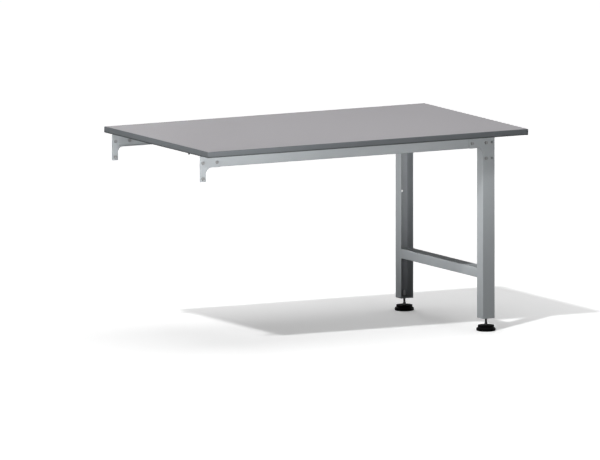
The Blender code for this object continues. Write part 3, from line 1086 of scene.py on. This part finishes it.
@dataclass
class PanScrew:
    """The pan-head screws with a cross recess that hold the worktop, their threads hidden in the board."""

    sides: int = 32
    dome: tuple[Point2, ...] = ((0.35, 0.0), (0.62, 0.00018), (0.84, 0.0007), (0.96, 0.0014), (1.0, 0.0022))
    head: float = 0.0030
    neck: float = 0.0021
    neck_length: float = 0.0005
    run_in: float = 0.0008
    point: float = 0.0042
    tip: float = 0.0004
    recess_half: Point2 = (0.0026, 0.00045)
    recess_depth: float = 0.0017
    recess_taper: float = 0.7
    overcut: float = 0.001

    def build(self, node: str) -> bpy.types.Object:
        """Turn one screw and press its recess.

        Args:
            node: The solid that the screw stands for.

        Returns:
            The screw.
        """
        low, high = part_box(node)
        length, rim = high.z - low.z, (high.x - low.x) / 2
        profile = [(share * rim, z) for share, z in self.dome]
        profile += [(rim, self.head), (self.neck, self.head), (self.neck, self.head + self.neck_length)]
        thread = WOOD_THREAD.rings(self.head + self.run_in, length - self.point, self.sides)
        rings = [*turned(profile, self.sides), *thread, circle(self.tip, length, self.sides)]
        piece = Shape().loft(rings).piece(f"pan_{node}", ZINC, FRAME_BODY)
        for wide, deep in (self.recess_half, self.recess_half[::-1]):
            cut(piece, self._recess(wide, deep))
        centre = middle(node)
        piece.location = (centre.x, centre.y, low.z)
        return stand_for(piece, node)

    def _recess(self, wide: float, deep: float) -> Shape:
        """One arm of the cross recess, as a shape to take away.

        Args:
            wide: Half its size along X.
            deep: Half its size along Y.

        Returns:
            The arm's shape.
        """
        plan = [(wide, deep), (-wide, deep), (-wide, -deep), (wide, -deep)]
        stations = ((-self.overcut, 1.0), (self.recess_depth, self.recess_taper))
        return Shape().loft([[(u * s, v * s, z) for u, v in plan] for z, s in stations])


@dataclass
class Rails:
    """The two channel rails under the worktop and the screws that hold it."""

    channel: FoldedChannel = field(default_factory=lambda: FoldedChannel(
        width=0.050, depth=0.020, wall=0.0025, bend=0.0040))
    screw: PanScrew = field(default_factory=PanScrew)
    screw_hole: float = 0.0055
    screws: int = 3

    def build(self) -> Pieces:
        """Fold both rails and set their screws.

        Yields:
            Each piece.
        """
        for side in Side:
            yield self._rail(side)
            for node in self._screw_nodes(side):
                yield self.screw.build(node)

    def _screw_nodes(self, side: Side) -> list[str]:
        """The names of one rail's screws."""
        return [f"top_screw_{side.word}_{i}" for i in range(1, self.screws + 1)]

    def _rail(self, side: Side) -> bpy.types.Object:
        """One rail with its bolt and screw holes.

        Args:
            side: The rail's side of the table.

        Returns:
            The rail.
        """
        node = f"{side.word}_rail"
        low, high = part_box(node)
        web = side.face(low, high)

        def place(u: float, v: float, x: float) -> Point3:
            """Section to space: u runs down from the top, v inwards from the web."""
            return x, web - side.value * v, high.z - u

        holes = []
        for end in End:
            bolt = middle(f"bolt_{side.word}_{end.word}_{Spot.RAIL.word}")
            holes.append(drill_y(bolt.x, bolt.z, self.channel.hole / 2, (web - DRILL_IN, web + DRILL_IN)))
        upright = (high.z - DRILL_IN, high.z + DRILL_OUT)
        for screw in map(middle, self._screw_nodes(side)):
            holes.append(drill_z(screw.x, screw.y, self.screw_hole / 2, upright))
        piece = self.channel.build(f"folded_rail_{side.word}", (low.x, high.x), place, holes)
        return stand_for(piece, node)


@dataclass
class WeldBead:
    """A rippled weld seam that runs upright, painted over."""

    half: float = 0.0022
    step: float = 0.0007
    run_in: float = 0.002
    start_share: float = 0.25
    ripple: float = 0.0028
    ripple_gain: float = 0.10
    sunk: float = 0.0004
    crown: float = 0.30
    arc_steps: int = 6
    sharp: float = 70.0

    def build(self, name: str, foot: Point3, length: float, inwards: int) -> bpy.types.Object:
        """Lay one seam.

        Args:
            name: The piece's name.
            foot: Where the seam starts.
            length: How far it runs up.
            inwards: Sign of the X that leads into the metal.

        Returns:
            The seam.
        """
        x, y, z = foot
        back = x + inwards * self.sunk
        count = round(length / self.step)
        rings = []
        for i in range(count + 1):
            run = length * i / count
            taper = min(1.0, *(self.start_share + part / self.run_in for part in (run, length - run)))
            half = self.half * taper * (1.0 + self.ripple_gain * math.sin(TAU * run / self.ripple))
            ring = [(back, y + half), (back, y - half)]
            for u, v in arc((0.0, 0.0), half, 180, 0, self.arc_steps):
                ring.append((x - inwards * self.crown * v, y + u))
            rings.append([(u, v, z + run) for u, v in ring])
        return Shape().loft(rings).piece(name, COAT, FRAME_BODY, self.sharp)


@dataclass
class Legs:
    """The two channel legs and the crossbar welded between them."""

    channel: FoldedChannel = field(default_factory=lambda: FoldedChannel(
        width=0.057, depth=0.050, wall=0.0025, bend=0.0030))
    weld: WeldBead = field(default_factory=WeldBead)
    rear_hole_height: float = 0.493
    rear_hole: float = 0.010
    tube_wall: float = 0.0020
    tube_corner: float = 0.0025
    tube_steps: int = 6

    def build(self) -> Pieces:
        """Fold both legs, then the crossbar and its welds.

        Yields:
            Each piece.
        """
        for side in Side:
            yield self._leg(side)
            yield dress_solid(f"foot_plate_{side.word}", COAT)
        yield self._crossbar()
        low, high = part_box("crossbar")
        length = high.z - low.z - 2 * self.tube_corner
        for side in Side:
            for end in End:
                foot = (end.face(low, high), side.face(low, high), low.z + self.tube_corner)
                yield self.weld.build(f"weld_bead_{side.word}_{end.word}", foot, length, end.value)

    def _leg(self, side: Side) -> bpy.types.Object:
        """One leg with its bolt holes, two of them empty for the next unit.

        Args:
            side: The leg's side of the table.

        Returns:
            The leg.
        """
        node = f"{side.word}_leg"
        low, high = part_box(node)
        web = side.face(low, high)

        def place(u: float, v: float, z: float) -> Point3:
            """Section to space: u runs along X, v inwards from the web."""
            return low.x + u, web - side.value * v, z

        reach = (web - DRILL_IN, web + DRILL_IN)
        holes = []
        for spot in (Spot.CORNER, Spot.ARM):
            bolt = middle(f"bolt_{side.word}_{End.RIGHT.word}_{spot.word}")
            for x in (bolt.x, low.x + high.x - bolt.x):
                holes.append(drill_y(x, bolt.z, self.channel.hole / 2, reach))
        if side is Side.REAR:
            holes.append(drill_y((low.x + high.x) / 2, self.rear_hole_height, self.rear_hole / 2, reach))
        piece = self.channel.build(f"folded_leg_{side.word}", (low.z, high.z), place, holes)
        return stand_for(piece, node)

    def _section(self, width: float, height: float, corner: float) -> list[Point2]:
        """A rectangle with rounded corners, about the origin.

        Args:
            width: Its width.
            height: Its height.
            corner: Radius of its corners.

        Returns:
            The points.
        """
        across, up = width / 2 - corner, height / 2 - corner
        points = []
        for quarter, (u, v) in enumerate(((1, 1), (-1, 1), (-1, -1), (1, -1))):
            start = 90 * quarter
            points += arc((u * across, v * up), corner, start, start + 90, self.tube_steps)
        return points

    def _crossbar(self) -> bpy.types.Object:
        """The tube between the free edges of the legs' flanges.

        Returns:
            The tube.
        """
        low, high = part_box("crossbar")
        centre, size, walls = (low + high) / 2, high - low, 2 * self.tube_wall
        outer = self._section(size.x, size.z, self.tube_corner)
        inner = self._section(size.x - walls, size.z - walls, self.tube_corner - self.tube_wall)
        stations = ((outer, low.y), (outer, high.y), (inner, high.y), (inner, low.y))
        rings = [[(centre.x + u, y, centre.z + v) for u, v in section] for section, y in stations]
        tube = Shape().loft(rings, closed=True).piece("rectangular_tube", COAT, FRAME_BODY)
        return stand_for(tube, "crossbar")


@dataclass
class HangerPlates:
    """The four flat plates with their bolts and nuts."""

    drop: float = 0.108
    rail_height: float = 0.050
    arm: float = 0.028
    fillet: float = 0.027
    fillet_steps: int = 20
    corner: float = 0.0025
    corner_steps: int = 5
    hole: float = 0.009
    eased: float = 0.0004
    fastener: HexFastener = field(default_factory=lambda: HexFastener(
        M8, width=0.013, nut=0.0065, bore=0.0040, head=0.0053, length=0.016))

    def build(self) -> Pieces:
        """Cut all plates and set their fasteners.

        Yields:
            Each piece.
        """
        for side in Side:
            for end in End:
                yield self._plate(side, end)
                for spot in Spot:
                    yield from self._bolt_and_nut(f"{side.word}_{end.word}_{spot.word}", side)

    def _outline(self, length: float) -> list[Point2]:
        """The plate's outline, with rounded free corners and the filleted inner one.

        Args:
            length: The plate's length along the rail.

        Returns:
            The (along, down) points.
        """
        r, steps, inner = self.corner, self.corner_steps, self.fillet
        points = arc((r, r), r, 180, 270, steps) + arc((length - r, r), r, 270, 360, steps)
        points += arc((length - r, self.rail_height - r), r, 0, 90, steps)
        points += arc((self.arm + inner, self.rail_height + inner), inner, 270, 180, self.fillet_steps)
        points += arc((self.arm - r, self.drop - r), r, 0, 90, steps)
        points += arc((r, self.drop - r), r, 90, 180, steps)
        return points

    def _plate(self, side: Side, end: End) -> bpy.types.Object:
        """One plate with its three holes.

        Args:
            side: The plate's side of the table.
            end: Its end of the rail.

        Returns:
            The plate.
        """
        node = f"hanger_plate_{side.word}_{end.word}"
        low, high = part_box(node)
        start = end.face(low, high)
        outline = self._outline(high.x - low.x)
        rings = [[(start + end.value * u, y, high.z - v) for u, v in outline] for y in (low.y, high.y)]
        piece = Shape().loft(rings).piece(f"cut_plate_{side.word}_{end.word}", COAT, FRAME_BODY)
        for spot in Spot:
            bolt = middle(f"bolt_{side.word}_{end.word}_{spot.word}")
            cut(piece, drill_y(bolt.x, bolt.z, self.hole / 2, (low.y - DRILL_OUT, high.y + DRILL_OUT)))
        ease_edges(piece, self.eased)
        return stand_for(piece, node)

    def _bolt_and_nut(self, place: str, side: Side) -> Pieces:
        """The bolt and nut at one hole.

        Args:
            place: The hole's side, end and spot, as in the solids' names.
            side: The plate's side of the table.

        Yields:
            The bolt, then the nut.
        """
        for kind, shape in (("bolt", self.fastener.bolt_mesh()), ("nut", self.fastener.nut_mesh())):
            node = f"{kind}_{place}"
            head = self.fastener.head if kind == "bolt" else 0.0
            seat = side.face(*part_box(node)) - side.value * head
            piece = shape.piece(f"m8_{node}", ZINC, FRAME_BODY, HEX_SHARP)
            piece.location = (middle(node).x, seat, middle(node).z)
            piece.rotation_euler = (math.radians(90 * side.value), 0.0, 0.0)
            yield stand_for(piece, node)


@dataclass
class EarthPoint:
    """The earthing stud under the worktop with its washer and nut."""

    fastener: HexFastener = field(default_factory=lambda: HexFastener(
        M8, width=0.013, nut=0.0065, bore=0.0040))
    sides: int = 32
    tip: float = 0.0028
    run_in: float = 0.0008
    run_out: float = 0.001
    root: float = 0.0030
    washer_bore: float = 0.0043
    washer_ease: float = 0.0002
    washer_sides: int = 48

    def build(self) -> Pieces:
        """Thread the stud, and set its washer and nut.

        Yields:
            Each piece.
        """
        axis = middle("earth_stud")
        for node, name, shape, finish, sharp in (
                ("earth_stud", "threaded_earth_stud", self._stud(), BLACK_STEEL, PLAIN_SHARP),
                ("earth_washer", "flat_earth_washer", self._washer(), ZINC, PLAIN_SHARP),
                ("earth_nut", "m8_earth_nut", self.fastener.nut_mesh(), ZINC, HEX_SHARP)):
            piece = shape.piece(name, finish, FRAME_BODY, sharp)
            piece.location = (axis.x, axis.y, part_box(node)[0].z)
            yield stand_for(piece, node)

    def _stud(self) -> Shape:
        """The threaded stud, standing on the origin.

        Returns:
            The stud's shape.
        """
        low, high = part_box("earth_stud")
        tall = high.z - low.z
        thread = M8.rings(self.run_in, tall - self.run_out, self.sides)
        ends = turned(((self.tip, 0.0), (self.root, tall)), self.sides)
        return Shape().loft([ends[0], *thread, ends[1]])

    def _washer(self) -> Shape:
        """The washer with eased rims, lying on the origin.

        Returns:
            The washer's shape.
        """
        low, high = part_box("earth_washer")
        rim, tall = (high.x - low.x) / 2, high.z - low.z
        bore, ease = self.washer_bore, self.washer_ease
        profile = [(bore, 0.0), (rim - ease, 0.0), (rim, ease)]
        profile += [(rim, tall - ease), (rim - ease, tall), (bore, tall)]
        return Shape().loft(turned(profile, self.washer_sides), closed=True)


@dataclass
class ScrewFeet:
    """The two levelling feet: pad, sole, threaded stem and the nut in the leg."""

    sides: int = 96
    height: float = 0.0240
    tier_top: float = 0.0340
    tier_base: float = 0.0332
    tier_rim: float = 0.001
    tier_hollow: float = 0.0026
    base: float = 0.0400
    base_height: float = 0.0140
    bulge: float = 0.0050
    toe: float = 0.0025
    toe_foot: float = 0.0010
    round_steps: tuple[int, int, int, int] = (4, 5, 8, 5)
    dish: Point2 = (0.0095, 0.0295)
    dish_slope: float = 0.0010
    dish_depth: float = 0.0009
    socket: float = 0.0053
    socket_floor: float = 0.0120
    socket_ease: float = 0.0006
    seat: float = 0.0360
    seat_roof: float = 0.0033
    sole_rim: float = 0.0357
    sole_top: float = 0.0030
    sole_ease: Point2 = (0.0008, 0.0010)
    grooves: tuple[float, ...] = (0.0290, 0.0220, 0.0150, 0.0080)
    groove_half: Point2 = (0.0010, 0.0006)
    groove_depth: float = 0.0008
    stem_sides: int = 48
    stem_end: tuple[Point2, ...] = ((0.0030, 0.0), (0.0047, 0.0012))
    stem_neck: float = 0.0049
    stem_tip: float = 0.0033
    stem_gap: float = 0.0003
    thread_run: Point2 = (0.0002, 0.0010)
    hex_width: float = 0.012
    hex_height: float = 0.010
    hex_share: float = 0.476
    hex_lifts: Point2 = (0.0005, 0.0011)
    weld_nut: HexFastener = field(default_factory=lambda: HexFastener(
        M10, width=0.017, nut=0.0080, bore=0.0050))

    def build(self) -> Pieces:
        """Turn both feet, and set the nuts that they turn in.

        Yields:
            Each piece.
        """
        for side in Side:
            axis = middle(f"foot_stem_{side.word}")
            foot, stem = f"{side.word}_foot", f"{side.word}_stem"
            for name, shape, finish, body in (
                    ("foot_pad", self._pad(), NYLON, foot), ("foot_sole", self._sole(), RUBBER, foot),
                    ("foot_stem", self._stem(f"foot_stem_{side.word}"), BLACK_STEEL, stem)):
                piece = shape.piece(f"turned_{name}_{side.word}", finish, body, TURNED_SHARP)
                piece.location = (axis.x, axis.y, 0.0)
                yield stand_for(piece, f"{name}_{side.word}")
            node = f"foot_nut_{side.word}"
            nut = self.weld_nut.nut_mesh().piece(f"m10_{node}", ZINC, FRAME_BODY, HEX_SHARP)
            nut.location = (axis.x, axis.y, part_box(node)[0].z)
            yield stand_for(nut, node)

    def _pad(self) -> Shape:
        """The two-step pad: a tier with a dished top over a bulging base, hollow for the sole below.

        Returns:
            The pad's shape.
        """
        top, ease, rim, hollow = self.height, self.socket_ease, self.tier_rim, self.tier_hollow
        rim_steps, hollow_steps, bulge_steps, toe_steps = self.round_steps
        first, last = self.dish
        floor = top - self.dish_depth
        profile = [(self.socket, self.socket_floor), (self.socket, top - ease), (self.socket + ease, top)]
        profile += [(first, top), (first + self.dish_slope, floor)]
        profile += [(last - self.dish_slope, floor), (last, top)]
        profile += arc((self.tier_top - rim, top - rim), rim, 90, 0, rim_steps)
        step = (self.tier_base + hollow, self.base_height + hollow)
        profile += arc(step, hollow, 180, 270, hollow_steps)
        shoulder = (self.base - self.bulge, self.base_height - self.bulge)
        profile += arc(shoulder, self.bulge, 90, 0, bulge_steps)
        toe = (self.base - self.toe, self.toe_foot + self.toe)
        profile += arc(toe, self.toe, 0, -90, toe_steps)
        profile += [(self.seat, self.toe_foot), (self.seat, self.seat_roof)]
        return Shape().loft(turned(profile, self.sides))

    def _sole(self) -> Shape:
        """The rubber sole, with ring grooves in its face.

        Returns:
            The sole's shape.
        """
        back, lift = self.sole_ease
        profile = [(self.sole_rim, self.sole_top), (self.sole_rim, lift), (self.sole_rim - back, 0.0)]
        mouth, floor = self.groove_half
        for groove in self.grooves:
            profile += [(groove + mouth, 0.0), (groove + floor, self.groove_depth)]
            profile += [(groove - floor, self.groove_depth), (groove - mouth, 0.0)]
        return Shape().loft(turned(profile, self.sides))

    def _stem(self, node: str) -> Shape:
        """The stem: a round end in the pad, a spanner hexagon and the thread.

        Args:
            node: The solid that the stem stands for.

        Returns:
            The stem's shape.
        """
        low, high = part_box(node)
        sides, hex_low = self.stem_sides, self.height + self.stem_gap
        hex_high = hex_low + self.hex_height
        chamfer = hex_chamfer(self.hex_width, self.hex_share, self.hex_lifts)
        run_in, run_out = self.thread_run
        rings = turned([(r, low.z + lift) for r, lift in self.stem_end], sides)
        rings.append(circle(self.stem_neck, hex_low, sides))
        rings += [hexagon(self.hex_width, hex_low + lift, sides, limit) for lift, limit in chamfer]
        rings += [hexagon(self.hex_width, hex_high - lift, sides, limit) for lift, limit in chamfer[::-1]]
        rings += M10.rings(hex_high + run_in, high.z - run_out, sides)
        rings.append(circle(self.stem_tip, high.z, sides))
        return Shape().loft(rings)


@dataclass(frozen=True)
class SoftBox:
    """A rectangular soft box: its place, what it faces, its size, power in watts and beam in degrees."""

    place: Point3
    aim: Point3
    size: Point2
    power: float
    beam: float

    def hang(self, name: str) -> None:
        """Put the box into the scene.

        Args:
            name: The box's name.
        """
        data = bpy.data.lights.new(name, "AREA")
        data.shape = "RECTANGLE"
        data.size, data.size_y = self.size
        data.energy = self.power
        data.spread = math.radians(self.beam)
        box = show(name, data)
        box.location = self.place
        box.rotation_euler = (Vector(self.aim) - Vector(self.place)).to_track_quat("-Z", "Y").to_euler()


@dataclass
class Studio:
    """Camera, light and floor."""

    azimuth: float = -28.41
    elevation: float = 7.75
    aim: Point3 = (-0.0757, 0.0, 0.4196)
    view_width: float = 2.4699
    distance: float = 12.0
    view_reach: float = 200.0
    floor_size: float = 60.0
    sky: float = 0.133
    below: float = 0.053
    horizon: Point2 = (-0.05, 0.05)
    sun_towards: Point3 = (-0.555, -0.376, 0.840)
    sun_strength: float = 1.8
    sun_angle: float = 3.0
    boxes: dict[str, SoftBox] = field(default_factory=lambda: {
        "overhead_box": SoftBox((0.0, 0.0, 3.2), (0.0, 0.0, 0.0), (3.0, 2.4), 52.5, 180.0),
        "corner_box": SoftBox((-1.9, -2.6, 0.80), (-0.7, -0.378, 1.00), (0.8, 0.5), 4.45, 40.0),
        "front_left_box": SoftBox((-0.7, -3.4, 0.85), (-0.5, -0.378, 0.90), (0.8, 0.3), 0.62, 26.0),
        "front_box": SoftBox((0.3, -3.4, 0.85), (0.1, -0.378, 0.90), (1.2, 0.3), 0.50, 34.0),
        "front_right_box": SoftBox((1.3, -3.4, 0.95), (0.85, -0.378, 0.94), (1.2, 0.3), 0.72, 24.0),
        "leg_box": SoftBox((0.6035, -2.0, 0.40), (0.6035, -0.378, 0.38), (0.05, 0.8), 0.42, 50.0),
        "fill_box": SoftBox((-0.9, -2.4, 0.75), (0.60, 0.35, 0.56), (0.5, 0.2), 0.22, 16.0),
        "arm_box": SoftBox((-1.6, -1.2, 0.70), (-0.80, 0.378, 0.75), (0.1, 0.1), 0.034, 9.0),
        "left_box": SoftBox((-2.2, 0.9, 0.95), (-0.75, 0.0, 0.83), (0.8, 0.3), 1.09, 40.0),
        "near_box": SoftBox((-1.35, 0.45, 0.26), (0.58, -0.05, 0.50), (0.5, 0.3), 1.7, 40.0),
        "rear_box": SoftBox((0.3, 3.4, 0.90), (0.1, 0.378, 0.85), (1.6, 0.5), 8.0, 60.0),
        "right_box": SoftBox((3.4, 0.6, 0.45), (0.6, 0.0, 0.45), (1.2, 0.5), 4.0, 60.0)})

    def build(self) -> None:
        """Set up the whole studio."""
        self._camera()
        self._sky()
        self._sun()
        for name, box in self.boxes.items():
            box.hang(name)
        self._floor()
        bpy.context.scene.view_settings.view_transform = "Standard"

    def _camera(self) -> None:
        """An orthographic camera at the photograph's angle."""
        data = bpy.data.cameras.new("camera")
        data.type = "ORTHO"
        data.ortho_scale = self.view_width
        data.clip_end = self.view_reach
        camera = show("camera", data)
        turn, lift = math.radians(self.azimuth), math.radians(self.elevation)
        away = Vector((math.sin(turn) * math.cos(lift), -math.cos(turn) * math.cos(lift), math.sin(lift)))
        camera.location = Vector(self.aim) + self.distance * away
        camera.rotation_euler = (-away).to_track_quat("-Z", "Y").to_euler()
        bpy.context.scene.camera = camera

    def _sky(self) -> None:
        """A dim even surround, dimmer below the floor, behind a white backdrop that throws no light."""
        world = bpy.data.worlds.new("studio")
        bpy.context.scene.world = world
        world.use_nodes = True
        wiring = Wiring(world.node_tree)
        height = wiring.height(wiring.node("ShaderNodeTexCoord", output="Generated"))
        light = wiring.fade(height, self.horizon, (self.below, self.sky))
        backdrop = wiring.node("ShaderNodeLightPath", output="Is Camera Ray")
        background = wiring.tree.nodes["Background"]
        wiring.feed(background.inputs["Color"], WHITE)
        wiring.feed(background.inputs["Strength"], light + backdrop)

    def _sun(self) -> None:
        """The key light, from the front left and above."""
        data = bpy.data.lights.new("key", "SUN")
        data.energy = self.sun_strength
        data.angle = math.radians(self.sun_angle)
        key = show("key", data)
        key.rotation_euler = Vector(self.sun_towards).to_track_quat("Z", "Y").to_euler()

    def _floor(self) -> None:
        """A plain pale floor that takes shadows and throws no light back."""
        half = self.floor_size / 2
        mesh = bpy.data.meshes.new("floor")
        corners = [(-half, -half, 0), (half, -half, 0), (half, half, 0), (-half, half, 0)]
        mesh.from_pydata(corners, [], [(0, 1, 2, 3)])
        mesh.materials.append(FLOOR.material())
        floor = show("floor", mesh)
        floor.visible_diffuse = False
        floor.visible_glossy = False


def main() -> None:
    """Build the table's sub-assemblies in order, logging each piece, then the studio."""
    logging.basicConfig(level=logging.INFO, format="%(name)s: %(message)s")
    for assembly in (Worktop(), Rails(), Legs(), HangerPlates(), EarthPoint(), ScrewFeet()):
        for piece in assembly.build():
            LOG.info("%s: %s", type(assembly).__name__, piece.name)
    Studio().build()


if __name__ == "__main__":
    main()
